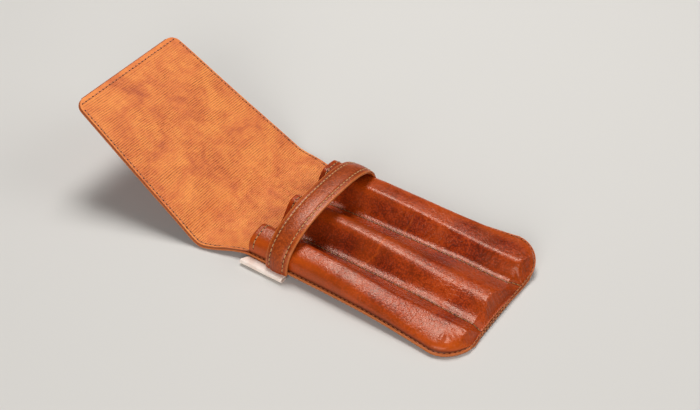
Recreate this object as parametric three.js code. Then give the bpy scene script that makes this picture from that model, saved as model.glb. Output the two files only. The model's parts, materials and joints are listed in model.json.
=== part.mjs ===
// A leather pen case with three moulded channels, lying on its back with its long flap raised.
// Millimetres, +Z up. The origin is on the flat back, halfway along the pocket.
// The pocket's closed toe is towards +X, its mouth and the flap are towards -X.
import * as THREE from 'three';

// Leathers and the glue line between two layers
const outerLeather = 1.4;
const liningLeather = 0.9;
const pocketLeather = 1.2;
const pocketLining = 0.6;
const strapLeather = 1.3;
const strapLining = 0.7;
const glueLine = 0.3;

// Pocket
const pocketLength = 134;
const waistWidth = 84;
const toeWidth = 91;
const toeCornerRadius = 17;
const edgeCurl = 2.8;
const flatBackWidth = 44;
const edgeReveal = 0.6;
const lipWidth = 1.2;
const waistCurvePower = 3;

// Three moulded channels
const channelRadius = 7.5;
const sideChannelRadius = 8.5;
const sideSquareness = 2.5;
const crownAtMouth = 16.5;
const crownAtToe = 10.5;
const crownDropPower = 3;
const valleyAtMouth = 15.9;
const valleyAtToe = 18.3;
const valleyStrip = 1;
const sideCrestAtMouth = 30.5;
const sideCrestAtToe = 32.5;
const sideCrestShare = 0.55;
const toeFacetRun = 5;
const creaseSoftness = 2.2;

// Back between the mouth and the fold, and the flap beyond it
const foldReach = 30;
const foldWidth = 100;
const tipWidth = 84;
const tipCornerRadius = 6;
const spineHeight = 21;
const tongueLength = 83;
const flapRise = 31;

// Strap that the tongue is tucked under
const strapWidth = 17.5;
const strapEndWidth = 14;
const strapTop = 29;
const strapLean = 5;
const strapSquareness = 2.6;
const strapFromMouth = 19;

// Folded tab in the near side seam
const tabLength = 28;
const tabDepth = 5.2;
const tabHeight = 3;
const tabThickness = 0.8;
const tabPastMouth = 2;

// How finely the curves are divided
const straightSteps = 9;
const facetSteps = 8;
const lipSteps = 4;
const cornerSteps = 6;
const backSteps = 8;
const acrossSteps = 14;
const flankSteps = 3;
const crownSteps = 4;
const sideSteps = 8;
const strapSteps = 28;
const strapAcross = 2;
const leafSteps = 8;
const tabSteps = 8;

const toeX = pocketLength / 2;
const facetFootX = toeX - edgeReveal - lipWidth;
const mouthX = -pocketLength / 2;
const foldX = mouthX - foldReach;
const backStack = outerLeather + glueLine + liningLeather;
const seamStack = backStack + glueLine + pocketLining + glueLine + pocketLeather;
const strapStack = strapLeather + glueLine + strapLining;
const strapMiddleX = mouthX + strapFromMouth;
const strapFootZ = edgeCurl + outerLeather / 2;
const foldRadius = backStack / 2;
const foldClearance = foldRadius + glueLine;
const flapLength = spineHeight + tongueLength;

const mix = (from, to, share) => from + (to - from) * share;
const clamp01 = (share) => Math.min(1, Math.max(0, share));
const ease = (share) => share * share * (3 - 2 * share);

// A closed body between two equal grids of points, both running along +X and then +Y
function sheetBetween(topRows, bottomRows) {
  const rows = topRows.length;
  const columns = topRows[0].length;
  const points = [...topRows.flat(), ...bottomRows.flat()];
  const top = (row, column) => row * columns + column;
  const bottom = (row, column) => rows * columns + top(row, column);
  const faces = [];
  for (let row = 0; row < rows - 1; row++) {
    for (let column = 0; column < columns - 1; column++) {
      faces.push(top(row, column), top(row + 1, column), top(row + 1, column + 1));
      faces.push(top(row, column), top(row + 1, column + 1), top(row, column + 1));
      faces.push(bottom(row, column), bottom(row + 1, column + 1), bottom(row + 1, column));
      faces.push(bottom(row, column), bottom(row, column + 1), bottom(row + 1, column + 1));
    }
  }
  const wall = (row, column, nextRow, nextColumn) => {
    faces.push(bottom(row, column), bottom(nextRow, nextColumn), top(nextRow, nextColumn));
    faces.push(bottom(row, column), top(nextRow, nextColumn), top(row, column));
  };
  for (let row = 0; row < rows - 1; row++) {
    wall(row, 0, row + 1, 0);
    wall(row + 1, columns - 1, row, columns - 1);
  }
  for (let column = 0; column < columns - 1; column++) {
    wall(rows - 1, column, rows - 1, column + 1);
    wall(0, column + 1, 0, column);
  }
  const geometry = new THREE.BufferGeometry().setFromPoints(points);
  geometry.setIndex(faces);
  geometry.computeVertexNormals();
  return geometry;
}

// Half the width of the back at x, drawn in by inset all round the toe
function outlineHalf(x, inset) {
  const cornerX = toeX - toeCornerRadius;
  if (x > cornerX) {
    const reach = Math.max(0, (toeCornerRadius - inset) ** 2 - (x - cornerX) ** 2);
    return toeWidth / 2 - toeCornerRadius + Math.sqrt(reach);
  }
  if (x > mouthX) {
    const share = (x - mouthX) / (cornerX - mouthX);
    return mix(waistWidth, toeWidth, share ** waistCurvePower) / 2 - inset;
  }
  return mix(waistWidth, foldWidth, ease((mouthX - x) / foldReach)) / 2 - inset;
}

// How far the back has curled up off the table at a point
function curl(x, y) {
  const half = outlineHalf(x, 0);
  const beyondFlat = clamp01((Math.abs(y) - flatBackWidth / 2) / (half - flatBackWidth / 2));
  const towardsFold = x < mouthX ? 1 - ease((mouthX - x) / foldReach) : 1;
  const towardsToe = x > 0 ? 1 - ease(x / toeX) : 1;
  return edgeCurl * towardsFold * towardsToe * beyondFlat ** 2;
}

// Places along X: even steps to the start of the round toe corner, then round it,
// with one place just where the toe's facets meet the lip
function stationsToToe(startX, inset, steps) {
  const cornerX = toeX - toeCornerRadius;
  const places = [];
  for (let step = 0; step < steps; step++) {
    places.push(mix(startX, cornerX, step / steps));
  }
  const radius = toeCornerRadius - inset;
  const lipTurn = Math.asin((facetFootX - cornerX) / radius);
  for (let step = 0; step < facetSteps; step++) {
    places.push(cornerX + radius * Math.sin(lipTurn * (step / facetSteps)));
  }
  for (let step = 0; step <= lipSteps; step++) {
    places.push(cornerX + radius * Math.sin(mix(lipTurn, Math.PI / 2, step / lipSteps)));
  }
  return places;
}

// Back leathers: flat in the middle, curled up along both sewn edges
function backRows(height, inset) {
  const places = stationsToToe(mouthX, inset, straightSteps);
  for (let step = 1; step <= backSteps; step++) {
    places.unshift(mix(mouthX, foldX + foldClearance, step / backSteps));
  }
  return places.map((x) => {
    const row = [];
    for (let step = 0; step <= acrossSteps; step++) {
      const y = outlineHalf(x, inset) * mix(-1, 1, step / acrossSteps);
      row.push(new THREE.Vector3(x, y, curl(x, y) + height));
    }
    return row;
  });
}

// Half a channel's section, from its foot up to its crest: a straight flank, then a round crown
function roundHalf(foot, crest, radius) {
  const centre = new THREE.Vector2(crest.x, crest.y - radius);
  const toFoot = foot.clone().sub(centre);
  const spread = Math.acos(radius / Math.max(toFoot.length(), radius));
  const tangentTurn = Math.atan2(toFoot.x, toFoot.y) - Math.sign(toFoot.x) * spread;
  const onCrown = (turn) => new THREE.Vector2(
    centre.x + radius * Math.sin(turn),
    centre.y + radius * Math.cos(turn),
  );
  const half = [];
  for (let step = 0; step < flankSteps; step++) {
    half.push(foot.clone().lerp(onCrown(tangentTurn), step / flankSteps));
  }
  for (let step = 0; step <= crownSteps; step++) {
    half.push(onCrown(mix(tangentTurn, 0, step / crownSteps)));
  }
  return half;
}

// The outer half of an outer channel, from its foot up to its crest: a squarish quarter arch
function squareHalf(foot, crest) {
  const half = [];
  for (let step = 0; step <= sideSteps; step++) {
    const turn = (Math.PI / 2) * (step / sideSteps);
    half.push(new THREE.Vector2(
      mix(crest.x, foot.x, Math.cos(turn) ** (2 / sideSquareness)),
      mix(foot.y, crest.y, Math.sin(turn) ** (2 / sideSquareness)),
    ));
  }
  return half;
}

// One channel's section from two halves that share a crest.
// Pinch runs from 0 to 1 as the toe flattens it, and spreads its points out evenly.
function channelSection(nearHalf, farHalf, pinch) {
  const section = [...nearHalf, ...farHalf.reverse().slice(1)];
  const last = section.length - 1;
  return section.map((point, step) => {
    const evenY = mix(section[0].x, section[last].x, step / last);
    return new THREE.Vector2(mix(point.x, evenY, pinch), point.y);
  });
}

// The lower of two heights, with the crease between them softened
function softLower(first, second) {
  const share = clamp01(0.5 + (second - first) / (2 * creaseSoftness));
  return mix(second, first, share) - creaseSoftness * share * (1 - share);
}

// The pocket's outer face at x: lip, three channels with two valleys, lip
function pocketSection(x) {
  const half = outlineHalf(x, edgeReveal);
  const along = clamp01((x - mouthX) / pocketLength);
  const crown = mix(crownAtMouth, crownAtToe, along ** crownDropPower);
  const valley = mix(valleyAtMouth, valleyAtToe, along);
  const innerLip = half - lipWidth;
  const outside = valley + valleyStrip / 2;
  const inside = valley - valleyStrip / 2;
  const furthestCrest = mix(outside, innerLip, sideCrestShare);
  const crestY = Math.min(mix(sideCrestAtMouth, sideCrestAtToe, along), furthestCrest);
  const sideRadius = Math.min(sideChannelRadius, crestY - outside);
  const foot = (y) => new THREE.Vector2(y, curl(x, y) + seamStack);
  const crest = (y) => new THREE.Vector2(y, crown);
  const middleHalf = (y) => roundHalf(foot(y), crest(0), channelRadius);
  const innerHalf = (side) => roundHalf(foot(side * outside), crest(side * crestY), sideRadius);
  const outerHalf = (side) => squareHalf(foot(side * innerLip), crest(side * crestY));
  const facetHeight = (crownAtToe - seamStack) * ((facetFootX - x) / toeFacetRun);
  const pinch = 1 - clamp01((facetFootX - x) / toeFacetRun);
  const section = [
    foot(-half),
    ...channelSection(outerHalf(-1), innerHalf(-1), pinch),
    ...channelSection(middleHalf(-inside), middleHalf(inside), pinch),
    ...channelSection(innerHalf(1), outerHalf(1), pinch),
    foot(half),
  ];
  return section.map(({ x: y, y: z }) => {
    const floor = curl(x, y) + seamStack;
    const height = Math.max(0, softLower(z - floor, facetHeight));
    return new THREE.Vector3(x, y, floor + (z > floor ? height : 0));
  });
}

// The same face sunk by depth along its own normals
function sunkRows(rows, depth) {
  return rows.map((row, i) => row.map((point, j) => {
    const before = rows[Math.max(0, i - 1)][j];
    const after = rows[Math.min(rows.length - 1, i + 1)][j];
    const nearer = row[Math.max(0, j - 1)];
    const further = row[Math.min(row.length - 1, j + 1)];
    const along = after.clone().sub(before);
    const across = further.clone().sub(nearer);
    const normal = along.cross(across).normalize();
    return point.clone().addScaledVector(normal, -depth);
  }));
}

// The strap's outer face: a squarish arch over the pocket that leans to the far side
function strapFace() {
  const outerHalf = outlineHalf(strapMiddleX, 0) + glueLine + strapStack;
  const squared = (value) => Math.sign(value) * Math.abs(value) ** (2 / strapSquareness);
  const rows = [];
  for (let across = 0; across <= strapAcross; across++) {
    const row = [];
    for (let step = 0; step <= strapSteps; step++) {
      const turn = Math.PI * (step / strapSteps);
      const upright = step === strapSteps ? 0 : Math.sin(turn);
      const width = mix(strapEndWidth, strapWidth, upright);
      row.push(new THREE.Vector3(
        strapMiddleX + width * (across / strapAcross - 1 / 2),
        strapLean * upright ** 2 - outerHalf * squared(Math.cos(turn)),
        mix(strapFootZ, strapTop, squared(upright)),
      ));
    }
    rows.push(row);
  }
  return rows;
}

// Half the width of the flap at a distance from the first fold, round at the tip's corners
function flapHalf(distance) {
  const half = mix(foldWidth, tipWidth, distance / flapLength) / 2;
  const intoCorner = Math.max(0, distance - (flapLength - tipCornerRadius));
  const reach = Math.max(0, tipCornerRadius ** 2 - intoCorner ** 2);
  return half - tipCornerRadius + Math.sqrt(reach);
}

// One layer of a leaf, flat, from its far end back to a rolled edge round a hinge line.
// Distances run from the first fold, and height is measured from the hinge line.
function leafRows(hingeDistance, farDistance, height) {
  const roll = Math.sqrt(Math.max(0, foldRadius ** 2 - height ** 2));
  const straightEnd = Math.min(farDistance, flapLength - tipCornerRadius);
  const distances = [];
  if (farDistance > straightEnd) {
    for (let step = 0; step < cornerSteps; step++) {
      const turn = (Math.PI / 2) * (step / cornerSteps);
      distances.push(straightEnd + tipCornerRadius * Math.cos(turn));
    }
  }
  for (let step = 0; step <= leafSteps; step++) {
    distances.push(mix(straightEnd, hingeDistance - roll, step / leafSteps));
  }
  return distances.map((distance) => {
    const half = flapHalf(distance);
    return [-half, 0, half].map((y) => new THREE.Vector3(-distance, y, height));
  });
}

// The tab's folded strip: two leaves and the round fold between them, open at the seam
function tabGeometry() {
  const outer = tabHeight / 2;
  const inner = outer - tabThickness;
  const foldCentre = tabDepth - outer;
  const section = new THREE.Shape();
  section.moveTo(0, -outer);
  section.lineTo(foldCentre, -outer);
  section.absarc(foldCentre, 0, outer, -Math.PI / 2, Math.PI / 2, false);
  section.lineTo(0, outer);
  section.lineTo(0, inner);
  section.lineTo(foldCentre, inner);
  section.absarc(foldCentre, 0, inner, Math.PI / 2, -Math.PI / 2, true);
  section.lineTo(0, -inner);
  const options = { depth: tabLength, bevelEnabled: false, curveSegments: tabSteps };
  const outwards = new THREE.Vector3(0, -1, 0);
  const upwards = new THREE.Vector3(0, 0, 1);
  const towardsMouth = new THREE.Vector3(-1, 0, 0);
  const startX = mouthX - tabPastMouth + tabLength;
  const seamY = -outlineHalf(mouthX - tabPastMouth, 0) - glueLine;
  const seamZ = strapFootZ - glueLine - outer;
  const placing = new THREE.Matrix4().makeBasis(outwards, upwards, towardsMouth);
  placing.setPosition(startX, seamY, seamZ);
  return new THREE.ExtrudeGeometry(section, options).applyMatrix4(placing);
}

const tanLeather = new THREE.MeshStandardMaterial({ color: 0x9a3a12, roughness: 0.38, metalness: 0 });
const strapLeatherFinish = new THREE.MeshStandardMaterial({ color: 0xa8431a, roughness: 0.4, metalness: 0 });
const ribbedLining = new THREE.MeshStandardMaterial({ color: 0xd07a3c, roughness: 0.6, metalness: 0 });
const paleTab = new THREE.MeshStandardMaterial({ color: 0xe8c9b4, roughness: 0.7, metalness: 0 });

function piece(name, geometry, material) {
  const mesh = new THREE.Mesh(geometry, material);
  mesh.name = name;
  return mesh;
}

// Back leathers, from the toe to the first fold
const liningBottom = outerLeather + glueLine;
const backPanel = piece('back_panel', sheetBetween(backRows(outerLeather, 0), backRows(0, 0)), tanLeather);
const backLining = piece(
  'back_lining',
  sheetBetween(backRows(backStack, edgeReveal), backRows(liningBottom, edgeReveal)),
  ribbedLining,
);

// Moulded front leathers, sewn down at the edges and along two valleys
const pocketFace = stationsToToe(mouthX, edgeReveal, straightSteps).map(pocketSection);
const frontPanel = piece(
  'front_panel',
  sheetBetween(pocketFace, sunkRows(pocketFace, pocketLeather)),
  tanLeather,
);
const frontLiningTop = pocketLeather + glueLine;
const frontLining = piece(
  'front_lining',
  sheetBetween(sunkRows(pocketFace, frontLiningTop), sunkRows(pocketFace, frontLiningTop + pocketLining)),
  ribbedLining,
);

// Strap, two layers
const strapOuterFace = strapFace();
const strapOuter = piece(
  'strap_outer',
  sheetBetween(strapOuterFace, sunkRows(strapOuterFace, strapLeather)),
  strapLeatherFinish,
);
const strapInner = piece(
  'strap_lining',
  sheetBetween(sunkRows(strapOuterFace, strapLeather + glueLine), sunkRows(strapOuterFace, strapStack)),
  ribbedLining,
);

const sideTab = piece('side_tab', tabGeometry(), paleTab);

// Flap: a spine that turns at the first fold, and a tongue that turns at the second
const layers = {
  panel: [-foldRadius, -foldRadius + outerLeather],
  lining: [foldRadius - liningLeather, foldRadius],
};
const leaf = (name, hinge, far, [low, high], material) => piece(
  name,
  sheetBetween(leafRows(hinge, far, high), leafRows(hinge, far, low)),
  material,
);
const spineEnd = spineHeight - foldClearance;
const raisedFlap = new THREE.Group();
raisedFlap.position.set(foldX, 0, foldRadius);
raisedFlap.rotation.y = THREE.MathUtils.degToRad(flapRise);
raisedFlap.add(
  leaf('spine_panel', 0, spineEnd, layers.panel, tanLeather),
  leaf('spine_lining', 0, spineEnd, layers.lining, ribbedLining),
  leaf('tongue_panel', spineHeight, flapLength, layers.panel, tanLeather),
  leaf('tongue_lining', spineHeight, flapLength, layers.lining, ribbedLining),
);

const penCase = new THREE.Group();
penCase.add(backPanel, backLining, frontPanel, frontLining, strapOuter, strapInner, sideTab, raisedFlap);

export default penCase;
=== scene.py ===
import json

import bpy
import numpy as np
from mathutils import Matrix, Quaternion, Vector


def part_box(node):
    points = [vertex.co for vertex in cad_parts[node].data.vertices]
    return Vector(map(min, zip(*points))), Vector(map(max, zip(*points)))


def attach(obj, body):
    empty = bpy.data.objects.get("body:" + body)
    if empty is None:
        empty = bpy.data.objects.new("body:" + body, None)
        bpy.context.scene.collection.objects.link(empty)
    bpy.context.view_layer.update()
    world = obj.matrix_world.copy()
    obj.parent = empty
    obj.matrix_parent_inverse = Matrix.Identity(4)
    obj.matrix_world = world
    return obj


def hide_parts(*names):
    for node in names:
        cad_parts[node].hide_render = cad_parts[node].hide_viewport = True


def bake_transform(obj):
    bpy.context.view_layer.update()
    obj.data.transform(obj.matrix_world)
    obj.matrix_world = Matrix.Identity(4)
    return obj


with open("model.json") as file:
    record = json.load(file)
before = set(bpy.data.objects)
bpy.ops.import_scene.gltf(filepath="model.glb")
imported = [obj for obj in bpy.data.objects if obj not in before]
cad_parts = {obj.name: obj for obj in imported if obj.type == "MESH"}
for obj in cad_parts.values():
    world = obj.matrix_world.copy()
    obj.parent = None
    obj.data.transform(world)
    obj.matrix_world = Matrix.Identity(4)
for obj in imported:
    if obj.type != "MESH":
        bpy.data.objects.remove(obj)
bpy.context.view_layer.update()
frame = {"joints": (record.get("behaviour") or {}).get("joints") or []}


# Camera: a long lens looking down across the pocket from its near side, towards the raised flap.
camera_place = Vector((0.2653, -0.4389, 0.4891))
camera_target = Vector((-0.0471, 0.0269, 0))
camera_roll = np.radians(0.59)

scene = bpy.context.scene
camera = bpy.data.objects.new("camera", bpy.data.cameras.new("camera"))
camera.location = camera_place
camera.rotation_mode = "QUATERNION"
level_view = (camera_target - camera_place).to_track_quat("-Z", "Y")
camera.rotation_quaternion = level_view @ Quaternion((0, 0, 1), camera_roll)
camera.data.lens = 66.86
camera.data.sensor_width = 36
scene.collection.objects.link(camera)
scene.camera = camera
scene.view_settings.view_transform = "Standard"


# Studio: a plain pale floor, a faint sky and three soft boxes. The main one stands high behind
# the far side, where the channels' crests reflect it. Weaker ones light the near walls and the toe.
floor_size = 6.0
floor_drop = 0.0002
soft_boxes = (
    ("main_light", (-0.25, 0.34, 0.91), 1.2, 0.5, 11.5),
    ("front_light", (0.30, -0.85, 0.38), 1.3, 0.9, 11.0),
    ("toe_light", (0.62, 0.45, 0.60), 1.3, 0.8, 4.0),
)
light_target = Vector((-0.01, 0, 0.01))
sky_strength = 0.08


def linear(colour):
    """An sRGB hex colour as linear red, green, blue and alpha."""
    channels = [int(colour[place:place + 2], 16) / 255 for place in (1, 3, 5)]
    return [c / 12.92 if c <= 0.04045 else ((c + 0.055) / 1.055) ** 2.4 for c in channels] + [1]


def add_node(tree, kind, settings):
    """Adds a shader node. Settings name its properties and input sockets. A socket given as a
    value is linked."""
    made = tree.nodes.new(kind)
    for name, value in settings.items():
        if isinstance(value, bpy.types.NodeSocket):
            tree.links.new(value, made.inputs[name])
        elif isinstance(name, int) or name in made.inputs:
            made.inputs[name].default_value = value
        else:
            setattr(made, name, value)
    return made


def bare_material(name):
    """A new material with an empty node tree, and that tree."""
    made = bpy.data.materials.new(name)
    made.use_nodes = True
    made.node_tree.nodes.clear()
    return made, made.node_tree


def finished(material, settings):
    """The material, with a Principled shader of these settings joined to its output."""
    shader = add_node(material.node_tree, "ShaderNodeBsdfPrincipled", settings)
    add_node(material.node_tree, "ShaderNodeOutputMaterial", {"Surface": shader.outputs[0]})
    return material


for light_name, towards, distance, size, power in soft_boxes:
    lamp = bpy.data.lights.new(light_name, "AREA")
    lamp.size = size
    lamp.energy = power
    light = bpy.data.objects.new(light_name, lamp)
    direction = Vector(towards).normalized()
    light.location = light_target + direction * distance
    light.rotation_mode = "QUATERNION"
    light.rotation_quaternion = (-direction).to_track_quat("-Z", "Y")
    scene.collection.objects.link(light)

sky = bpy.data.worlds.new("pale_sky")
sky.use_nodes = True
sky_sockets = sky.node_tree.nodes["Background"].inputs
sky_sockets["Color"].default_value = linear("#f4f3f1")
sky_sockets["Strength"].default_value = sky_strength
scene.world = sky

paper = finished(bare_material("pale_paper")[0], {
    "Base Color": linear("#d2cfca"), "Roughness": 0.9, "Specular IOR Level": 0.2,
})
floor_mesh = bpy.data.meshes.new("floor")
floor_mesh.from_pydata([
    (x * floor_size / 2, y * floor_size / 2, -floor_drop)
    for x, y in ((-1, -1), (1, -1), (1, 1), (-1, 1))
], [], [range(4)])
floor_mesh.materials.append(paper)
studio_floor = bpy.data.objects.new("studio_floor", floor_mesh)
scene.collection.objects.link(studio_floor)


# Outer leather of the back, the spine and the flap: one cut of waxed full-grain cowhide that runs
# from the toe round both folds to the flap's tip. It is made as two lengths that meet in the
# middle of the spine. Sizes are in millimetres.
millimetre = 0.001
joint_at = {joint["name"]: np.array(joint["pos_m"]) / millimetre for joint in frame["joints"]}
fold_x, _, fold_z = joint_at["first_fold"]
second_x, _, second_z = joint_at["second_fold"]
flap_rise = np.arctan2(second_z - fold_z, fold_x - second_x)
spine_length = np.hypot(second_z - fold_z, fold_x - second_x)
toe_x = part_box("back_panel")[1].x / millimetre
mouth_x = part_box("front_panel")[0].x / millimetre
fold_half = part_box("back_panel")[1].y / millimetre
waist_half, toe_half, tip_half = 42.0, 45.5, 42.0
toe_corner, tip_corner = 17.0, 6.0
tongue_length = 83.0
flap_length = spine_length + tongue_length
flap_end = fold_x - flap_length
tip_start = flap_end + tip_corner
corner_start = toe_x - toe_corner
spine_middle = fold_x - spine_length / 2
second_fold_s = fold_x - spine_length
near_curl = 2.8
far_curl_at_mouth = 4.4
far_curl_at_toe = 9.0
far_curl_power = 1.6
flat_half = 22.0
toe_pull_in, toe_pull_run = 1.4, 22.0
toe_far_reach = 1.3
toe_near_swell = 1.3
near_swell_y, near_swell_width = -28.0, 8.0
far_stretch = 1.5
corner_pull = np.array([0.8, 0.6])
corner_pull_run = 20.0
waist_power = 3
fold_bend = 19.0
flap_sway = 0.35
outer_thickness = 1.4
underside = 0.2
stack_middle = fold_z
edge_bulge = 0.4
rim_steps = 5
drift_squares = 97


def mix(start, end, share):
    """Start where the share is 0, end where it is 1."""
    return start + (end - start) * share


def ease(share):
    """Smooth step from 0 to 1: three times the share squared less twice its cube."""
    share = np.clip(share, 0, 1)
    return share * share * (3 - 2 * share)


def bell(distance):
    """A bell curve, 1 at its middle: e to the power of minus the distance squared."""
    return np.exp(-distance ** 2)


def drift(first, second, size, seed):
    """Random hills from -1 to 1: seeded numbers on a square grid, eased from each to the next."""
    numbers = np.random.default_rng(seed).uniform(-1, 1, (drift_squares, drift_squares))
    first, second = np.broadcast_arrays(first / size, second / size)
    column, row = np.floor(first).astype(int), np.floor(second).astype(int)
    along, across = ease(first - column), ease(second - row)
    start, end = column % drift_squares, (column + 1) % drift_squares
    near, far = (
        mix(numbers[start, line % drift_squares], numbers[end, line % drift_squares], along)
        for line in (row, row + 1)
    )
    return mix(near, far, across)


def points_of(x, y, z):
    """Grids of x, y and z, or plain numbers in their place, as one grid of points."""
    return np.stack(np.broadcast_arrays(x, y, z), -1)


def unit(vectors):
    """Vectors made one long, but for those of no length."""
    return vectors / np.maximum(np.linalg.norm(vectors, axis=-1, keepdims=True), 1e-9)


def outline_half(s, inset):
    """Half the leather's width at s, which runs along it and is x up to the fold.
    A quarter circle at the toe, a slow cubic to the waist, a smooth step to the fold, a straight
    taper up the flap and a quarter circle at its tip. Inset draws it in all round."""
    into_toe = np.maximum(0, (toe_corner - inset) ** 2 - (s - corner_start) ** 2)
    toe = toe_half - toe_corner + np.sqrt(into_toe)
    to_corner = np.clip((s - mouth_x) / (corner_start - mouth_x), 0, 1)
    pocket = mix(waist_half, toe_half, to_corner ** waist_power)
    throat = mix(waist_half, fold_half, ease((mouth_x - s) / (mouth_x - fold_x)))
    flap = mix(fold_half, tip_half, np.clip((fold_x - s) / flap_length, 0, 1))
    into_tip = np.maximum(0, tip_start - s)
    tip = flap - tip_corner + np.sqrt(np.maximum(0, (tip_corner - inset) ** 2 - into_tip ** 2))
    side = np.where(s > mouth_x, pocket, np.where(s > fold_x, throat, flap)) - inset
    return np.where(s > corner_start, toe, np.where(into_tip > 0, tip, side))


def back_lift(s, y):
    """How far the back has curled up off the table. The near side rises by the square of the way
    from the flat middle to the edge, less towards the toe. The far side has warped: it rises more
    towards the toe's far corner. Both fade to nothing at the fold."""
    to_fold = 1 - ease((mouth_x - s) / (mouth_x - fold_x))
    near_share = np.clip((-y - flat_half) / (outline_half(s, 0) - flat_half), 0, 1)
    far_share = np.clip((y - flat_half) / (toe_half - flat_half), 0, 1)
    near = near_curl * (1 - ease(s / toe_x)) * near_share ** 2
    towards_toe = ease((s - mouth_x) / (corner_start - mouth_x))
    far = mix(far_curl_at_mouth, far_curl_at_toe, towards_toe) * far_share ** far_curl_power
    return to_fold * (near + far)


def worn_in(points):
    """The case's points moved to where use has left them. The toe's end is drawn in, less towards
    the far side and where the near channel swells it. The far side has stretched, and the far
    toe corner is pulled outwards, fading over the distance from it."""
    x, y, z = points[..., 0], points[..., 1], points[..., 2]
    reach = toe_far_reach * ease((y + 5) / 30)
    reach = reach + toe_near_swell * bell((y - near_swell_y) / near_swell_width)
    bulge = (reach - toe_pull_in) * ease((x - toe_x + toe_pull_run) / toe_pull_run)
    on_pocket = ease((x - fold_x) / (mouth_x - fold_x))
    stretch = far_stretch * ease(y / toe_half) * on_pocket
    pull = 1 - ease(np.hypot(x - toe_x + 3, y - toe_half + 5) / corner_pull_run)
    return points_of(x + bulge + corner_pull[0] * pull, y + stretch + corner_pull[1] * pull, z)


def on_case(s, y, height):
    """The point at s along the leather, y across it and a height above its underside: flat to
    the fold, an arc of radius fold_bend there, then straight up the flap, which sways a little."""
    reach = fold_bend * np.tan(flap_rise / 2)
    past = fold_x - s
    turn = flap_rise * np.clip((past + reach) / (2 * reach), 0, 1)
    straight = np.maximum(0, past - reach)
    arc_x = fold_x + reach - fold_bend * np.sin(turn) + np.maximum(0, -past - reach)
    arc_z = stack_middle + fold_bend * (1 - np.cos(turn))
    sway = flap_sway * drift(s, y, 37, 4)
    sway = sway * ease((fold_x + reach - s) / 25) * ease((s - flap_end) / 12)
    up = height - stack_middle + sway
    x = arc_x - straight * np.cos(flap_rise) + up * np.sin(turn)
    z = arc_z + straight * np.sin(flap_rise) + up * np.cos(turn) + back_lift(s, y)
    return worn_in(points_of(x, y, z))


def stations(start, end, step):
    """Even places from start to end, about a step apart."""
    return np.linspace(start, end, int(np.ceil(abs(end - start) / step)) + 1)


def round_the_toe(inset, steps):
    """Places along s over the toe's quarter circle, even in angle, from the toe inwards."""
    return corner_start + (toe_corner - inset) * np.sin(np.linspace(np.pi / 2, 0, steps))


def round_the_tip(inset, steps):
    """Places along s over the flap tip's quarter circle, even in angle, out to the tip."""
    return tip_start - (tip_corner - inset) * np.sin(np.linspace(0, np.pi / 2, steps))


def numbers_of(grid):
    """The numbers of a grid's points, and those of its outer points once round."""
    rows, columns = grid.shape[:2]
    number = np.arange(rows * columns).reshape(rows, columns)
    rim = [number[0, :-1], number[:-1, -1], number[-1, :0:-1], number[:0:-1, 0]]
    return number, np.concatenate(rim)


def band_faces(loops):
    """Faces between each closed loop of point numbers and the next loop in its stack."""
    beside = np.roll(loops, -1, -1)
    bands = [loops[..., :-1, :], beside[..., :-1, :], beside[..., 1:, :], loops[..., 1:, :]]
    return np.stack(bands, -1).reshape(-1, 4)


def leather_skin(top, bottom, bulge, cut_rows=()):
    """The closed skin of a sheet of leather: two faces as equal grids of points, and between them
    a rim that bulges out as half an ellipse. The rows in cut_rows are cut square. Gives the
    points, the faces, and each point's share of the rim."""
    number, rim = numbers_of(top)
    rows, columns = number.shape
    upper, lower = top.reshape(-1, 3)[rim], bottom.reshape(-1, 3)[rim]
    middle, half = (upper + lower) / 2, (upper - lower) / 2
    outward = unit(np.cross(np.roll(middle, -1, 0) - np.roll(middle, 1, 0), half))
    outward *= np.sign(np.sum(outward * (middle - middle.mean(0))))
    for row in cut_rows:
        on_row = rim // columns == row % rows
        side = on_row & ((rim % columns == 0) | (rim % columns == columns - 1))
        outward[on_row & ~side] = 0
        outward[side] = np.sign(middle[side][:, 1:2] - middle.mean(0)[1]) * [0, 1, 0]
    turns = np.linspace(np.pi / 2, -np.pi / 2, rim_steps + 2)[1:-1]
    rings = [middle + half * np.sin(turn) + outward * bulge * np.cos(turn) for turn in turns]
    points = np.concatenate([top.reshape(-1, 3), bottom.reshape(-1, 3), *rings])
    quads = np.stack([number[:-1, :-1], number[1:, :-1], number[1:, 1:], number[:-1, 1:]], -1)
    quads = quads.reshape(-1, 4)
    ring_numbers = 2 * number.size + np.arange(rim_steps * len(rim)).reshape(rim_steps, -1)
    walls = band_faces(np.stack([rim, *ring_numbers, rim + number.size]))
    faces = np.concatenate([quads, quads[:, ::-1] + number.size, walls])
    start = top[0, 0]
    if np.dot(np.cross(top[1, 0] - start, top[0, 1] - start), start - bottom[0, 0]) < 0:
        faces = faces[:, ::-1]
    rim_share = [np.full(len(rim), np.cos(turn)) for turn in turns]
    return points, faces, np.concatenate([np.zeros(2 * number.size), *rim_share])


def make_piece(name, points, faces, material, **marks):
    """A smooth piece with its place in its mesh, in metres. Marks are point attributes: one number
    or three for each point."""
    mesh = bpy.data.meshes.new(name)
    mesh.vertices.add(len(points))
    mesh.vertices.foreach_set("co", (points * millimetre).astype(np.float32).ravel())
    mesh.loops.add(faces.size)
    mesh.loops.foreach_set("vertex_index", faces.astype(np.int32).ravel())
    mesh.polygons.add(len(faces))
    loop_starts = np.arange(0, faces.size, faces.shape[1], dtype=np.int32)
    mesh.polygons.foreach_set("loop_start", loop_starts)
    mesh.update(calc_edges=True)
    mesh.shade_smooth()
    for mark, values in marks.items():
        values = np.asarray(values, np.float32).reshape(len(points), -1)
        kind, field = ("FLOAT", "value") if values.shape[1] == 1 else ("FLOAT_VECTOR", "vector")
        mesh.attributes.new(mark, kind, "POINT").data.foreach_set(field, values.ravel())
    mesh.materials.append(material)
    piece = bpy.data.objects.new(name, mesh)
    scene.collection.objects.link(piece)
    return piece


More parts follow.
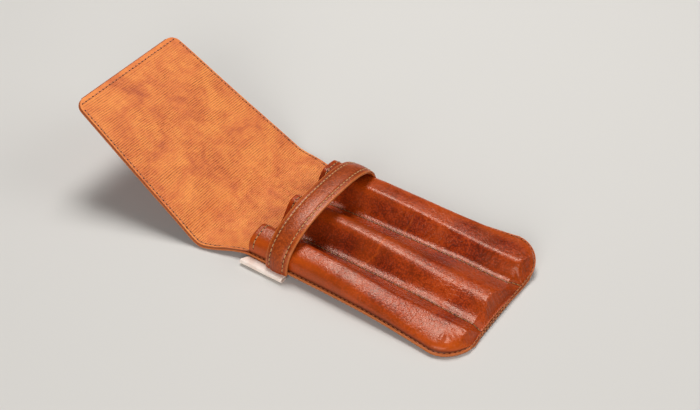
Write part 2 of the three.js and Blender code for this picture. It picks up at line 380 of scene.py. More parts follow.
def leather_piece(name, top, bottom, bulge, material, cut_rows=(), **marks):
    """A sheet of leather between two faces. Marks are values on a face's grid, repeated for the
    other face and the rim."""
    points, faces, rim_share = leather_skin(top, bottom, bulge, cut_rows)
    number, rim = numbers_of(top)
    for mark, values in marks.items():
        flat = values.reshape(number.size, -1)
        marks[mark] = np.concatenate([flat, flat, *[flat[rim]] * rim_steps])
    return make_piece(name, points, faces, material, edge=rim_share, **marks)


def point_mark(tree, name, output="Fac"):
    """The socket of one of the mesh's point attributes."""
    return add_node(tree, "ShaderNodeAttribute", {"attribute_name": name}).outputs[output]


def noise(tree, vector, size, detail, roughness=0.5, distortion=0.0, output="Fac"):
    """Clouds of random noise, about a size across."""
    return add_node(tree, "ShaderNodeTexNoise", {
        "Vector": vector, "Scale": 1 / size, "Detail": detail, "Roughness": roughness,
        "Distortion": distortion,
    }).outputs[output]


def worked_out(tree, operation, *terms, clamp=False):
    """The result of an operation on terms that are numbers or sockets."""
    settings = {"operation": operation, "use_clamp": clamp, **dict(enumerate(terms))}
    return add_node(tree, "ShaderNodeMath", settings).outputs[0]


def blended(tree, first, second, share):
    """Two values mixed by a share."""
    return add_node(tree, "ShaderNodeMix", {"Factor": share, 2: first, 3: second}).outputs[0]


def mapped(tree, value, low, high, to_low=0, to_high=1):
    """A value carried over from one range to another, and held inside it."""
    return add_node(tree, "ShaderNodeMapRange", {
        "Value": value, "From Min": low, "From Max": high, "To Min": to_low, "To Max": to_high,
    }).outputs[0]


def laid_over(tree, under, colour, share):
    """A hex colour laid over what is under it, by a share."""
    return add_node(tree, "ShaderNodeMix", {
        "data_type": "RGBA", "Factor": share, 6: under, 7: linear(colour),
    }).outputs[2]


def dyed(tree, tone, first, last, *between):
    """A colour ramp over a tone. Each stop is a place on the ramp and a hex colour."""
    dye = add_node(tree, "ShaderNodeValToRGB", {"Fac": tone})
    stops = dye.color_ramp.elements
    for stop, (place, colour) in zip(stops, (first, last)):
        stop.position, stop.color = place, linear(colour)
    for place, colour in between:
        stops.new(place).color = linear(colour)
    return dye.outputs[0]


def embossed(tree, height, depth, under=None, sunk=False):
    """Normals for a relief of a depth in metres, added to those under it."""
    settings = {"Strength": 1, "Distance": depth, "invert": sunk, "Height": height}
    if under:
        settings["Normal"] = under
    return add_node(tree, "ShaderNodeBump", settings).outputs[0]


warm_gloss = (1.0, 0.66, 0.52, 1.0)
# Colour of the painted shade laid into grooves.
stain_colour = "#3a1308"
raw_edge_colour = "#c4703a"


def waxed_leather(name, dark, middle, light, worn, wax):
    """Full-grain cowhide, aniline dyed, waxed and glazed: dye pooled in clouds, a fine grain,
    long drawn creases that show paler, wear and cut edges paler still, painted shade laid
    into grooves by a point mark, and a soft shine.
    All patterns lie on the flat cut, with sizes in millimetres and reliefs in metres."""
    cloud_size, mottle_size, grain_size, pore_size = 26, 3.6, 1.0, 0.35
    crease_size, wander_size, wander = 5.5, 2.4, 3.2
    mottle_relief, crease_relief, grain_relief, pore_relief = 0.00014, 0.00007, 0.00009, 0.00002
    material, tree = bare_material(name)
    cut = point_mark(tree, "cut", "Vector")
    edge = point_mark(tree, "edge")
    clouds = noise(tree, cut, cloud_size, 5, 0.55, 0.4)
    mottle = noise(tree, cut, mottle_size, 4, 0.6)
    grain = add_node(tree, "ShaderNodeTexVoronoi", {
        "feature": "SMOOTH_F1", "Vector": cut, "Scale": 1 / grain_size, "Smoothness": 0.5,
    }).outputs["Distance"]
    tone = worked_out(tree, "MULTIPLY_ADD", grain, -0.42, blended(tree, clouds, mottle, 0.38))
    colour = dyed(tree, tone, (0.18, dark), (0.47, light), (0.33, middle))

    wandered = add_node(tree, "ShaderNodeVectorMath", {
        "operation": "MULTIPLY_ADD", 0: noise(tree, cut, wander_size, 3, output="Color"),
        1: (wander, wander, wander), 2: cut,
    }).outputs[0]
    to_crease = add_node(tree, "ShaderNodeTexVoronoi", {
        "feature": "DISTANCE_TO_EDGE", "Vector": wandered, "Scale": 1 / crease_size,
    }).outputs["Distance"]
    creased = worked_out(
        tree, "MULTIPLY", mapped(tree, to_crease, 0, 0.06, 1, 0), mapped(tree, clouds, 0.5, 0.7),
    )
    wear = worked_out(tree, "MULTIPLY_ADD", creased, 0.35, point_mark(tree, "worn"), clamp=True)
    colour = laid_over(tree, colour, worn, wear)
    # Painted shade, not a stain: this mark darkens the valley grooves and the seam's groove.
    colour = laid_over(tree, colour, stain_colour, point_mark(tree, "stain"))
    colour = laid_over(tree, colour, raw_edge_colour, mapped(tree, edge, 0.15, 0.75, 0, 0.85))

    shine = mapped(tree, mottle, 0.3, 0.7, wax - 0.05, wax + 0.1)
    normal = embossed(tree, mottle, mottle_relief)
    normal = embossed(tree, creased, crease_relief, normal, sunk=True)
    normal = embossed(tree, grain, grain_relief, normal, sunk=True)
    normal = embossed(tree, noise(tree, cut, pore_size, 2), pore_relief, normal)
    return finished(material, {
        "Base Color": colour, "IOR": 1.52, "Specular Tint": warm_gloss, "Normal": normal,
        "Roughness": worked_out(tree, "MULTIPLY_ADD", edge, 0.25, shine, clamp=True),
    })


tan_leather = waxed_leather("waxed_tan_cowhide", "#651b03", "#892704", "#a63706", "#c2500d", 0.31)

leather_columns = 72
fold_reach = 12.0
coarse_step, fold_step, flap_row_step = 2.2, 0.7, 1.6
lower_stations = np.concatenate([
    round_the_toe(0, 18), stations(corner_start, fold_x + fold_reach, coarse_step)[1:],
    stations(fold_x + fold_reach, spine_middle, fold_step)[1:],
])
upper_stations = np.concatenate([
    stations(spine_middle, second_fold_s - fold_reach, fold_step),
    stations(second_fold_s - fold_reach, tip_start, flap_row_step)[1:-1], round_the_tip(0, 14),
])
outer_top = underside + outer_thickness


def case_grid(places, inset, columns):
    """Flat places in rows across the leather, from its near side to its far side."""
    y = outline_half(places, inset)[:, None] * np.linspace(-1, 1, columns)
    return np.broadcast_to(places[:, None], y.shape), y


def long_leather(name, places, cut_row):
    """One length of the leather, cut square in the row where it meets the other."""
    s, y = case_grid(places, edge_bulge, leather_columns)
    return leather_piece(
        name, on_case(s, y, outer_top), on_case(s, y, underside), edge_bulge, tan_leather,
        [cut_row], cut=points_of(s, y, 0), worn=0.25 + 0.25 * drift(s, y, 14, 8), stain=0 * s,
    )


back_leather = long_leather("back_leather", lower_stations, -1)
flap_leather = long_leather("flap_leather", upper_stations, 0)
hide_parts("back_panel", "spine_panel")
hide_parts("tongue_panel")

fold_softness = 8.0


def bend_at_fold(piece, body, next_body, place):
    """Bakes a piece's transform into its mesh."""
    start = on_case(np.array(place + fold_softness), np.array(0.0), stack_middle)
    end = on_case(np.array(place - fold_softness), np.array(0.0), stack_middle)
    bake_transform(piece)


first_fold = "pocket", "spine", fold_x
second_fold = "spine", "tongue", second_fold_s
bend_at_fold(back_leather, *first_fold)
bend_at_fold(flap_leather, *second_fold)


# Lining: a softer satin cowhide embossed with fine cross ribs, glued to the back, the spine and the
# flap and sewn round the rim. Its ribs fade out in the pressed band outside the flap's stitching.
lining_thickness = 1.0
lining_top = outer_top + lining_thickness
lining_bulge = 0.3
lining_columns = 56
lining_step, hidden_step = 0.21, 3.0
flap_step = 0.25
rib_pitch = 1.3
rib_depth = 0.2
pressed_band = 3.6
side_band = 1.4
hidden_end = mouth_x + 6.0
pocket_inset = 2.6
throat_fold_depth = 0.28


def rib_strength(s, y):
    """From 0 on the pressed rim to 1 away from the flap's end and its sides."""
    from_end = ease((s - flap_end - pressed_band) / 1.2)
    from_side = ease((outline_half(s, side_band) - np.abs(y)) / 1.0)
    return from_end * from_side * (0.72 + 0.28 * drift(s, y, 8, 17))


def throat_folds(s, y):
    """Soft creases where the first fold squeezes the lining: slow ripples along it, strongest
    towards both sides and broken up along their length."""
    near_fold = bell((s - fold_x - 9) / 11)
    ripple = np.sin(s / 1.9 + 2.2 * drift(s, y, 13, 21)) * ease(drift(s, y, 9, 22) + 0.35)
    return throat_fold_depth * near_fold * ripple * ease((np.abs(y) - 14) / 22)


def ribbed_cowhide(name, dark, middle, light):
    """Embossed satin cowhide: ribs with painted shade in their grooves, broken here and there,
    and broad darker clouds where the skin was softer."""
    cloud_size, mottle_size, fleck_width, fleck_length, fibre_size = 24, 5, 1.1, 4, 0.45
    rib_relief, fibre_relief = 0.00012, 0.00008
    material, tree = bare_material(name)
    cut = point_mark(tree, "cut", "Vector")
    ribbed = point_mark(tree, "ribbed", "Vector")
    ribs, strength, _ = add_node(tree, "ShaderNodeSeparateXYZ", {"Vector": ribbed}).outputs
    clouds = noise(tree, cut, cloud_size, 4, 0.6, 0.9)
    tone = blended(tree, clouds, noise(tree, cut, mottle_size, 4), 0.3)
    colour = dyed(tree, tone, (0.33, dark), (0.62, light), (0.46, middle))

    drawn_out = add_node(tree, "ShaderNodeMapping", {
        "Vector": cut, "Scale": (1 / fleck_width, 1 / fleck_length, 1),
    }).outputs[0]
    wave = worked_out(tree, "COSINE", worked_out(tree, "MULTIPLY", ribs, 2 * np.pi))
    broken = mapped(tree, noise(tree, drawn_out, 1, 3, 0.65), 0.34, 0.62, 0.2)
    groove = worked_out(tree, "MULTIPLY", mapped(tree, wave, 0.35, -1), broken)
    groove = worked_out(tree, "MULTIPLY", groove, strength, clamp=True)
    # Painted shade: a darker brown laid into the rib grooves.
    colour = laid_over(tree, colour, "#7e3413", worked_out(tree, "MULTIPLY", groove, 0.8))
    edge = mapped(tree, point_mark(tree, "edge"), 0.15, 0.75, 0, 0.8)
    normal = embossed(tree, groove, rib_relief, sunk=True)
    return finished(material, {
        "Base Color": laid_over(tree, colour, "#8a4522", edge), "Roughness": 0.62, "IOR": 1.45,
        "Normal": embossed(tree, noise(tree, cut, fibre_size, 3), fibre_relief, normal),
    })


satin_lining = ribbed_cowhide("ribbed_satin_cowhide", "#bd5a28", "#dc7633", "#ee8f40")


def long_lining(name, places, cut_row):
    """One length of the lining. The ribs in its upper face wander by up to half a rib, and the
    groove between two is a raised cosine, squared."""
    tuck = lining_bulge + flap_step + pocket_inset * ease((places - mouth_x + 6) / 10)
    s, y = case_grid(places, tuck, lining_columns)
    ribs = s / rib_pitch + 0.45 * drift(s, y, 21, 15) + 0.12 * drift(s, y, 5, 16)
    strength = rib_strength(s, y)
    groove = (0.5 - 0.5 * np.cos(2 * np.pi * ribs)) ** 2 * strength
    top = on_case(s, y, lining_top - rib_depth * groove + throat_folds(s, y))
    return leather_piece(
        name, top, on_case(s, y, outer_top), lining_bulge, satin_lining, [cut_row],
        cut=points_of(s, y, 0), ribbed=points_of(ribs, strength, 0),
    )


lower_lining_places = np.concatenate([
    round_the_toe(2 * pocket_inset, 12), stations(corner_start, hidden_end, hidden_step)[1:],
    stations(hidden_end, spine_middle, lining_step)[1:],
])
upper_lining_places = np.concatenate([
    stations(spine_middle, tip_start, lining_step),
    round_the_tip(flap_step + lining_bulge, 22)[1:],
])
throat_lining = long_lining("throat_lining", lower_lining_places, -1)
flap_lining = long_lining("flap_lining", upper_lining_places, 0)
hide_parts("back_lining", "spine_lining")
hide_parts("tongue_lining")
bend_at_fold(throat_lining, *first_fold)
bend_at_fold(flap_lining, *second_fold)


# Front of the pocket: one piece of the same cowhide, wetted and pressed over three formers, then
# sewn down round the seam and along the two valleys. It stands in three round channels, the outer
# two squarish on their outer sides, and slopes down to the toe in a facet at each channel's end.
seam_inset = 0.2
lip = 0.65
lip_top = 2.35
lip_slope_run = 9.0
toe_slope_run = 6.0
valley_top, valley_rise, valley_rise_run = 4.6, 1.0, 30.0
valley_fall_start, valley_fall_run = 30.0, 25.0
valley_at_mouth, valley_at_toe = 15.9, 18.3
far_valley_bend = 3.6
valley_strip = 0.6
front_thickness = 1.2
crown_at_mouth, crown_at_toe = 15.6, 10.3
crown_drop_start, crown_drop_run = -35.0, 95.0
near_sag = 1.8
near_sag_start, near_sag_run = -10.0, 65.0
crest_at = {"near": 31.2, "far": 30.0}
near_crest_shift = 3.0
near_shift_start, near_shift_run = 15.0, 40.0
shoulder_drop = {"near": 1.8, "far": 1.0}
squareness = {"near": 4.0, "far": 5.0}
crest_rounding = 0.4
facet_run = 7.3
crease_softness = 0.7
groove_depth, groove_width = 0.35, 0.7
swell_depth, dent_depth = 0.22, 0.09
corner_folds, corner_fold_depth = 11, 0.3
wrinkle_pitch, wrinkle_depth = 2.6, 0.08
facet_foot = toe_x - seam_inset - lip
wave_shares = np.linspace(0, 1, 44)
fall_shares = np.linspace(0, 1, 34)[1:]
lip_shares = np.linspace(0, 1, 5)


def valley_line(s, y):
    """How far the stitching of the valley on y's side lies from the middle. The far one bends
    outwards in its last millimetres."""
    bend = far_valley_bend * ease((s - facet_foot + facet_run) / facet_run) * (np.asarray(y) > 0)
    to_toe = np.clip((s - mouth_x) / (toe_x - mouth_x), 0, 1)
    return mix(valley_at_mouth, valley_at_toe, to_toe) + bend


def seam_height(s, y):
    """Where the front lies when sewn down: on the lip round the rim, higher in the valleys,
    where the lining runs under it, most of all half way, and easing down to the lip at the toe."""
    inwards = ease((outline_half(s, seam_inset + lip) - np.abs(y)) / lip_slope_run)
    from_toe = ease((facet_foot - s) / toe_slope_run)
    half_way = ease((s - mouth_x) / valley_rise_run)
    half_way = half_way * (1 - ease((s - valley_fall_start) / valley_fall_run))
    return back_lift(s, y) + mix(lip_top, valley_top + valley_rise * half_way, inwards * from_toe)


def wave(share):
    """A soft wave's side from 0 at its foot to 1 at its crest, level at both: six times the share
    to the fifth, less fifteen times its fourth power, plus ten times its cube."""
    return share ** 3 * (10 - 15 * share + 6 * share ** 2)


def middle_channel(s, crown):
    """The middle channel's outside: one soft wave from valley to valley."""
    shares = np.concatenate([wave_shares, wave_shares[-2::-1]])
    side = np.concatenate([-np.ones(len(wave_shares)), np.ones(len(wave_shares) - 1)])
    foot = side * (valley_line(s, side) - valley_strip / 2)
    return foot * (1 - shares), mix(seam_height(s, foot), crown, wave(shares))


def side_channel(s, crown, name, side):
    """An outer channel's outside, from the valley outwards: a wave's side up to the crest, and
    from there a quarter of a superellipse down to the lip, whose shoulder lies a little lower."""
    inner, outer = valley_line(s, side) + valley_strip / 2, outline_half(s, seam_inset + lip)
    shift = near_crest_shift * ease((s - near_shift_start) / near_shift_run) * (name == "near")
    top_at = np.minimum(crest_at[name] - shift, mix(inner, outer, 0.55))
    inner_height, outer_height = seam_height(s, side * inner), seam_height(s, side * outer)
    top = crown + back_lift(s, side * top_at)
    fall = np.pi / 2 * fall_shares
    out = np.sin(fall) ** (2 / squareness[name])
    fall_top = top - shoulder_drop[name] * out ** 2 / (out + crest_rounding) * (1 + crest_rounding)
    y = np.concatenate([mix(inner, top_at, wave_shares), mix(top_at, outer, out)], 1)
    z = np.concatenate([
        mix(inner_height, top, wave(wave_shares)),
        mix(outer_height, fall_top, np.cos(fall) ** (2 / squareness[name])),
    ], 1)
    return side * y[:, ::side], z[:, ::side]


def soft_lower(first, second, softness):
    """The lower of two heights, with the corner between them rounded off."""
    share = np.clip(0.5 + (second - first) / (2 * softness), 0, 1)
    return mix(second, first, share) - softness * share * (1 - share)


def spread_out(y, share):
    """Points across the pocket, moved by a share towards even spacing."""
    return mix(y, mix(y[:, :1], y[:, -1:], np.linspace(0, 1, y.shape[1])), share)


def front_section(places):
    """Points of the front's outside at each place along the pocket, from the near rim to the far.
    The crests drop by a smooth step, and a sloping plane cuts each channel off at the toe."""
    s = places[:, None]
    half = outline_half(s, seam_inset)
    crown = mix(crown_at_mouth, crown_at_toe, ease((s - crown_drop_start) / crown_drop_run))
    sunk = crown - near_sag * ease((s - near_sag_start) / near_sag_run)
    pinch = 1 - np.clip((facet_foot - s) / facet_run, 0, 1)
    channels = [
        side_channel(s, sunk, "near", -1), middle_channel(s, crown),
        side_channel(s, crown, "far", 1),
    ]
    near, middle, far = (spread_out(y, pinch) for y, _ in channels)
    y = np.concatenate([
        mix(-half, near[:, :1], lip_shares[:-1]), near, mix(near[:, -1:], middle[:, :1], 0.5),
        middle, mix(middle[:, -1:], far[:, :1], 0.5), far, mix(far[:, -1:], half, lip_shares[1:]),
    ], 1)
    tall = [z - seam_height(s, spread) for (_, z), spread in zip(channels, (near, middle, far))]
    on_lip, on_strip = np.zeros((len(places), len(lip_shares) - 1)), np.zeros((len(places), 1))
    height = np.concatenate([on_lip, tall[0], on_strip, tall[1], on_strip, tall[2], on_lip], 1)
    height = np.maximum(0, height)
    facet = (crown_at_toe - lip_top) * (facet_foot - s) / facet_run
    height = np.where(height > 0, np.maximum(0, soft_lower(height, facet, crease_softness)), 0)
    return np.broadcast_to(s, y.shape), y, seam_height(s, y) + height


def hide_waves(s, y):
    """The moulded hide's own unevenness: slow swells, smaller dents, short drawn folds that fan
    out round the near corner of the toe, and fine wrinkles down the facets."""
    swells = swell_depth * drift(s, y, 24, 31) + dent_depth * drift(s, y, 8, 32)
    across, along = y + (toe_half - toe_corner), s - corner_start
    bearing, reach = np.arctan2(-across, along), np.hypot(across, along)
    fan = np.sin(corner_folds * bearing + 1.5 * drift(s, y, 9, 33)) * bell((reach - 10) / 3.2)
    corner = corner_fold_depth * fan * ease(-across / 5) * ease(along / 3)
    on_facet = ease((s - facet_foot + facet_run) / 2) * ease((facet_foot - s) / 2)
    wrinkles = np.sin(2 * np.pi * y / wrinkle_pitch + 5 * drift(s, y, 5, 34))
    return swells + corner + wrinkle_depth * wrinkles * on_facet


def outward_of(grid):
    """Unit normals of a grid of points: the cross product of its two directions."""
    return unit(np.cross(np.gradient(grid, axis=0), np.gradient(grid, axis=1)))


front_places = np.concatenate([
    round_the_toe(seam_inset + edge_bulge, 56), stations(corner_start, mouth_x, 0.95)[1:],
])
front_s, front_y, front_z = front_section(front_places)
front_flat = points_of(front_s, front_y, front_z)
front_plain = worn_in(front_flat)
front_up = outward_of(front_plain)
front_up *= np.sign(front_up[..., 2:].mean())
front_height = front_z - seam_height(front_s, front_y)
above_seam = ease(front_height / 3)
from_valley = np.abs(front_y) - valley_line(front_s, front_y)
furrow = groove_depth * bell(from_valley / groove_width)
relief = hide_waves(front_s, front_y) * above_seam - furrow
front_face = front_plain + front_up * relief[..., None]


def front_lower_face(depth):
    """The front's face sunk by a depth along its normals, but not into the lining."""
    sunk = front_face - front_up * depth
    lowest = back_lift(front_s, front_y) + outer_top
    sunk[..., 2] = np.maximum(sunk[..., 2], np.minimum(lowest, front_face[..., 2] - 0.2))
    return sunk


crest_wear = 0.15 * ease((np.clip(front_height / 9, 0, 1) - 0.8) / 0.2)
toe_wear = 0.25 * ease((front_s - 48) / 12) * (1 - ease((front_y - 22) / 14))
rim_wear = 0.4 * ease((np.abs(front_y) + 8 - outline_half(front_s, 0)) / 6)
pulled_s = -9.6 + 4 * ease((front_y + 16) / 14) + 1.2 * drift(front_y, 0, 4, 44)
pulled_crease = bell((front_s - pulled_s) / 0.5)
pulled_crease *= ease((front_y + 19) / 3) * ease((27 - front_y) / 3)
front_worn = 0.12 + 0.22 * drift(front_s, front_y, 12, 41) + crest_wear + toe_wear
# Painted shade, not a stain: dark along the valley stitching and in the groove where the front
# meets its lip.
valley_stain = 0.55 * bell(from_valley / 0.5)
to_lip = outline_half(front_s, seam_inset + lip) - np.abs(front_y)
lip_stain = 0.85 * bell(to_lip / 0.3) * (1 - above_seam)
front_leather = leather_piece(
    "front_leather", front_face, front_lower_face(front_thickness), edge_bulge, tan_leather,
    cut=front_flat, worn=front_worn + 0.5 * pulled_crease + rim_wear,
    stain=valley_stain + lip_stain,
)
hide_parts("front_panel")
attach(front_leather, "pocket")


# Lining of the channels: a thin skin of the lining cowhide, glued inside the front before it is
# moulded. It is drawn on every second point of the front's grid.
channel_lining_thickness = 0.6
channel_lining_bulge = 0.15
coarse = slice(None, None, 2)
lining_upper = front_lower_face(front_thickness)[coarse, coarse]
lining_lower = front_lower_face(front_thickness + channel_lining_thickness)[coarse, coarse]
lining_lower[..., 2] = np.minimum(lining_lower[..., 2], lining_upper[..., 2] - 0.1)
channel_lining = leather_piece(
    "channel_lining", lining_upper, lining_lower, channel_lining_bulge, satin_lining,
    cut=front_flat[coarse, coarse], ribbed=0 * lining_upper,
)
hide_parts("front_lining")
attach(channel_lining, "pocket")


# Strap: two leathers glued back to back, sewn in two rows with their edges skived and burnished.
# It springs over the pocket as a squarish arch that leans a little to the far side.
strap_middle = mouth_x + 19.0
strap_width, strap_end_width = 15.4, 14.0
strap_shift = 0.9
strap_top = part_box("strap_outer")[1].z / millimetre
strap_foot = 3.5
strap_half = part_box("strap_outer")[1].y / millimetre
strap_lean = 5.0
strap_squareness = 2.6
strap_outer_thickness = 1.45
strap_lining_thickness = 0.85
strap_bulge = 0.45
strap_seam_inset = 3.0
strap_crown = 0.8
strap_groove_depth, strap_groove_width = 0.25, 0.6
strap_dent_depth = 0.1
strap_steps, strap_columns = 190, 37
strap_hide_s = 300.0


def strap_place(turn, across):
    """The strap's outer face: over its length a superellipse in height and in y, drawn towards the
    far side by the square of its rise; across it a share from -1 to 1 of its half width."""
    upright = np.sin(turn)
    half = mix(strap_end_width, strap_width, upright) / 2 - strap_bulge
    reach = np.abs(np.cos(turn)) ** (2 / strap_squareness)
    rise = np.abs(upright) ** (2 / strap_squareness)
    x = strap_middle + strap_shift + half * across
    y = strap_lean * upright ** 2 - strap_half * np.sign(np.cos(turn)) * reach
    return points_of(x, y, mix(strap_foot, strap_top, rise))


def distances_along(line):
    """How far each point of a line lies from its start, along it."""
    steps = np.linalg.norm(np.diff(line, axis=0), axis=1)
    return np.concatenate([[0], np.cumsum(steps)])


fine_turns = np.linspace(0, np.pi, 4000)
fine_run = distances_along(strap_place(fine_turns, 0))
strap_run = np.linspace(0, fine_run[-1], strap_steps)
strap_turns = np.interp(strap_run, fine_run, fine_turns)
strap_across = np.linspace(-1, 1, strap_columns)
strap_plain = strap_place(strap_turns[:, None], strap_across)
strap_up = outward_of(strap_plain)
strap_up *= np.sign(np.sum(strap_up[strap_steps // 2, :, 2]))
strap_s = strap_run[:, None] + 0 * strap_across
strap_v = strap_plain[..., 0] - strap_middle - strap_shift
strap_row = mix(strap_end_width, strap_width, np.sin(strap_turns)) / 2 - strap_seam_inset
from_row = np.abs(strap_v) - strap_row[:, None]
strap_relief = (
    strap_crown * (1 - strap_across ** 2) - strap_crown
    - strap_groove_depth * bell(from_row / strap_groove_width)
    + strap_dent_depth * drift(strap_s, 3 * strap_v, 17, 51)
)
strap_face = strap_plain + strap_up * strap_relief[..., None]
strap_between = strap_plain - strap_up * strap_outer_thickness
strap_under = strap_plain - strap_up * (strap_outer_thickness + strap_lining_thickness)

chestnut_leather = waxed_leather(
    "waxed_chestnut_cowhide", "#722206", "#903108", "#a9420f", "#c86828", 0.33,
)
strap_marks = {
    "cut": points_of(strap_s + strap_hide_s, strap_v, 0), "stain": 0 * strap_s,
    "worn": 0.15 + 0.5 * ease((np.abs(strap_across) - 0.86) / 0.14) + 0 * strap_s,
}
strap_outer = leather_piece(
    "strap_leather", strap_face, strap_between, strap_bulge, chestnut_leather, **strap_marks,
)
strap_lining = leather_piece(
    "strap_backing", strap_between, strap_under, strap_bulge - 0.1, chestnut_leather,
    **strap_marks,
)
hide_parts("strap_outer")
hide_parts("strap_lining")
for leather, slot_name in ((strap_outer, "strap_leather"), (strap_lining, "lining_leather")):
    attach(leather, "pocket")


# Side tab: a strip of pale undyed leather, folded once and caught in the near seam beside the
# strap. It is vegetable-tanned calf, cut with one slanting end.
tab_low, tab_high = (np.array(corner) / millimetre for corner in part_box("side_tab"))
tab_thickness = 0.8
tab_bulge = 0.15
tab_inset = 0.2
tab_sway = 0.12
tab_turns = np.linspace(-np.pi / 2, np.pi / 2, 17)
tab_outer_radius = (tab_high[2] - tab_low[2]) / 2
tab_fold_y = tab_low[1] + tab_outer_radius
tab_middle_z = (tab_low[2] + tab_high[2]) / 2
tab_slant = 2.5


def tab_face(radius):
    """One face of the folded strip: in along the lower leaf, round the fold and out along the
    upper leaf. Its mouth end is cut at a slant."""
    leaf = stations(0, tab_high[1] - tab_fold_y, 0.4)
    y = np.concatenate([-leaf[:0:-1], radius * np.cos(tab_turns), -leaf[1:]])
    z = np.concatenate([-radius + 0 * leaf[1:], radius * np.sin(tab_turns), radius + 0 * leaf[1:]])
    slant = np.clip(-(y + leaf[-1]) / leaf[-1] + 1, 0, 1)
    start = tab_low[0] + tab_inset + tab_slant * slant
    x = mix(start[:, None], tab_high[0] - tab_inset, np.linspace(0, 1, 60))
    sway = tab_sway * drift(x, 0 * x, 9, 61)
    return points_of(x, tab_fold_y - y[:, None], tab_middle_z + z[:, None] + sway)


def undyed_leather(name):
    """Vegetable-tanned calf, undyed: pale and matt, with faint pinker clouds and fine fibres."""
    cloud_size, fibre_size, fibre_relief = 5, 0.3, 0.00006
    material, tree = bare_material(name)
    cut = point_mark(tree, "cut", "Vector")
    clouds = noise(tree, cut, cloud_size, 4)
    return finished(material, {
        "Base Color": dyed(tree, clouds, (0.3, "#ead0c0"), (0.7, "#fbeee3")), "Roughness": 0.72,
        "Normal": embossed(tree, noise(tree, cut, fibre_size, 3), fibre_relief),
    })


tab_outer, tab_inner = tab_face(tab_outer_radius), tab_face(tab_outer_radius - tab_thickness)
tab = leather_piece(
    "side_tab_strip", tab_outer, tab_inner, tab_bulge, undyed_leather("undyed_calf"),
    cut=tab_outer,
)
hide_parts("side_tab")
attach(tab, "pocket")


# Stitching: waxed linen thread, lockstitched by machine in rows half a millimetre to three
# millimetres in from the edges, and along the valleys. Each stitch dives into an awl slit at both
# ends; the shade in each slit and on the thread's diving ends is painted.
stitch_pitch = 2.8
stitch_share = 0.86
thread_radius = 0.29
thread_sides, thread_rings = 6, 7
slit_length, slit_width = 0.55, 0.48
slit_rings = ((0.3, -0.06), (1.0, 0.0), (0.3, 0.05))
seam_row_inset = seam_inset + 0.4
mouth_inset, rim_inset, tip_inset = 2.8, 1.7, 3.0
row_gap = 0.4
valley_sink = 0.33
sewn_faces = {"lining": (lining_top, 1), "outer": (underside, -1)}


def waxed_thread(name, colour, slit_shade_colour):
    """Twisted linen, waxed: matt, a little uneven from stitch to stitch, with painted shade where
    it dives.
    """
    material, tree = bare_material(name)
    tone = laid_over(tree, linear(colour), "#8d5a2c", point_mark(tree, "shade"))
    return finished(material, {
        "Base Color": laid_over(tree, tone, slit_shade_colour, point_mark(tree, "dive")),
        "Roughness": 0.6,
    })


# Each thread's last colour is painted shade for its diving ends and the awl slits.
golden_thread = waxed_thread("waxed_golden_linen", "#cf9f68", "#240b05")
dull_thread = waxed_thread("waxed_dull_linen", "#a8743f", "#240b05")
brown_thread = waxed_thread("waxed_brown_linen", "#b0622e", "#3a1408")
rose_thread = waxed_thread("waxed_rose_linen", "#cf7f55", "#33140b")


def line_at(line, run, where):
    """The points of a line, or its normals, at distances along it."""
    return points_of(*(np.interp(where, run, values) for values in line.T))


def ring_round(first, second):
    """Directions round a ring of the thread's sides, from one axis towards the other."""
    turn = np.linspace(0, 2 * np.pi, thread_sides, endpoint=False)[:, None]
    return np.cos(turn) * first[..., None, :] + np.sin(turn) * second[..., None, :]


def tube_faces(number):
    """Faces of closed tubes, from their points' numbers: tube, ring, place round it."""
    first, last = number[:, 0], number[:, -1]
    near_caps = first[:, [3, 2, 1, 0]], first[:, [5, 4, 3, 0]]
    far_caps = last[:, [0, 1, 2, 3]], last[:, [0, 3, 4, 5]]
    return np.concatenate([band_faces(number), *near_caps, *far_caps])


def stitches(path, up, run, count, lean):
    """A row's stitches, as tubes that stand proud by a power of a sine along them, and how much
    painted shade each point takes towards the ends where it dives."""
    pitch = run[-1] / count
    share = np.linspace(0, 1, thread_rings)
    begins = (np.arange(count) + (1 - stitch_share) / 2) * pitch
    where = begins[:, None] + share * stitch_share * pitch
    middle, over = line_at(path, run, where), unit(line_at(up, run, where))
    sideways = unit(np.cross(np.gradient(middle, axis=1), over))
    proud = np.sin(np.pi * share) ** 0.6
    lifted = middle + over * (thread_radius * (1.15 * proud - 0.75))[:, None]
    lifted += sideways * (lean * (share - 0.5))[:, None]
    thick = thread_radius * (0.6 + 0.4 * proud)
    tubes = lifted[:, :, None] + ring_round(sideways, over) * thick[:, None, None]
    return tubes, np.broadcast_to(0.75 * np.abs(2 * share - 1)[:, None] ** 5, tubes.shape[:3])


def awl_slits(path, up, run, count, scale):
    """The slits at a row's stitches' ends, as flat lenses of three rings, dark with painted shade.
    """
    where = np.arange(count + 1) * (run[-1] / count)
    middle, over = line_at(path, run, where), unit(line_at(up, run, where))
    ahead = line_at(path, run, where + 0.4) - line_at(path, run, where - 0.4)
    side = unit(np.cross(ahead, over))
    flat = ring_round(np.cross(over, side) * slit_length, side * slit_width) * scale
    rings = [middle[:, None] + flat * size + over[:, None] * height for size, height in slit_rings]
    return np.stack(rings, 1)


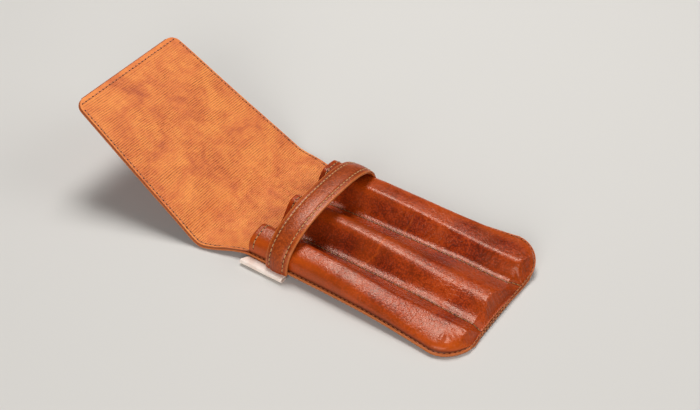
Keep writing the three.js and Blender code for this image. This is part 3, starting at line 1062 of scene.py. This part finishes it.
def stitch_row(name, path, up, thread, lean=0.0, slit=1.0):
    """A row of stitches along a line on the leather, and between them dark slits of painted shade.
    """
    run = distances_along(path)
    count = round(run[-1] / stitch_pitch)
    tubes, dive = stitches(path, up, run, count, lean)
    slits = awl_slits(path, up, run, count, slit)
    number = np.arange(dive.size).reshape(dive.shape)
    slit_number = np.arange(slits[..., 0].size).reshape(slits.shape[:3]) + number.size
    shade = np.random.default_rng(count).uniform(0, 0.45, count)[:, None, None] + 0 * number
    return make_piece(
        name, np.concatenate([tubes.reshape(-1, 3), slits.reshape(-1, 3)]),
        np.concatenate([tube_faces(number), tube_faces(slit_number)[:, ::-1]]), thread,
        dive=np.concatenate([dive.ravel(), np.ones(slit_number.size)]),
        shade=np.concatenate([shade.ravel(), np.zeros(slit_number.size)]),
    )


def case_up(s, y):
    """Normals of the long leather, from two short steps along it and across it."""
    step = 0.2
    along = on_case(s - step, y, stack_middle) - on_case(s + step, y, stack_middle)
    across = on_case(s, y + step, stack_middle) - on_case(s, y - step, stack_middle)
    return unit(np.cross(across, along))


def face_row(place, face, s, y):
    """A row through the flap's leathers, as it shows on one of their faces."""
    height, facing = sewn_faces[face]
    name = place + "_" + face + "_stitching"
    return stitch_row(name, on_case(s, y, height), facing * case_up(s, y), rose_thread)


def rim_line(start, end, side):
    """Flat places along one side of the leather, a fixed way in from its outline."""
    s = np.linspace(start, end, 240)
    return s, side * outline_half(s, rim_inset)


half_seam_s = np.concatenate([
    np.linspace(mouth_x + 1.5, corner_start, 300), round_the_toe(seam_row_inset, 60)[-2::-1],
])
seam_s = np.concatenate([half_seam_s, half_seam_s[::-1]])
seam_y = outline_half(seam_s, seam_row_inset) * np.repeat([-1, 1], len(half_seam_s))
seam_up = case_up(seam_s, seam_y)
front_seam, back_seam = on_case(seam_s, seam_y, lip_top), on_case(seam_s, seam_y, underside)
pocket_rows = [
    stitch_row("front_seam_stitching", front_seam, seam_up, brown_thread, slit=0.5),
    stitch_row("back_seam_stitching", back_seam, -seam_up, brown_thread),
]

valley_s = np.linspace(mouth_x + 2, facet_foot - 0.2, 260)
for side_name, side in (("near", -1), ("far", 1)):
    valley_y = side * valley_line(valley_s, side)
    sewn_z = seam_height(valley_s, valley_y) - valley_sink
    path = worn_in(points_of(valley_s, valley_y, sewn_z))
    under_path = on_case(valley_s, valley_y, underside)
    up = np.broadcast_to([0.0, 0.0, 1.0], path.shape)
    pocket_rows += [
        stitch_row(side_name + "_valley_stitching", path, up, dull_thread, lean=0.3),
        stitch_row(side_name + "_valley_under_stitching", under_path, -up, brown_thread),
    ]

mouth_row = np.argmin(np.abs(front_places - mouth_x - mouth_inset))
sewn = mouth_row, slice(8, -8)
pocket_rows.append(stitch_row("mouth_stitching", front_face[sewn], front_up[sewn], golden_thread))

for side_name, side in (("mouth", -1), ("toe", 1)):
    row_share = side * (1 - (strap_seam_inset - strap_bulge) / (strap_width / 2 - strap_bulge))
    sewn = slice(3, -3), np.argmin(np.abs(strap_across - row_share))
    pocket_rows.append(stitch_row(
        "strap_" + side_name + "_stitching", strap_face[sewn], strap_up[sewn], golden_thread,
        lean=0.15,
    ))

for row in pocket_rows:
    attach(row, "pocket")

for side_name, side in (("near", -1), ("far", 1)):
    throat_line = rim_line(mouth_x - 1.5, spine_middle + row_gap, side)
    flap_line = rim_line(spine_middle - row_gap, tip_start + 1, side)
    for face in sewn_faces:
        bend_at_fold(face_row(side_name + "_throat", face, *throat_line), *first_fold)
        bend_at_fold(face_row(side_name + "_flap", face, *flap_line), *second_fold)

tip_y = np.linspace(-1, 1, 200) * (tip_half - tip_inset)
for face in sewn_faces:
    tip_row = face_row("tip", face, flap_end + tip_inset + 0 * tip_y, tip_y)
    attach(tip_row, "tongue")
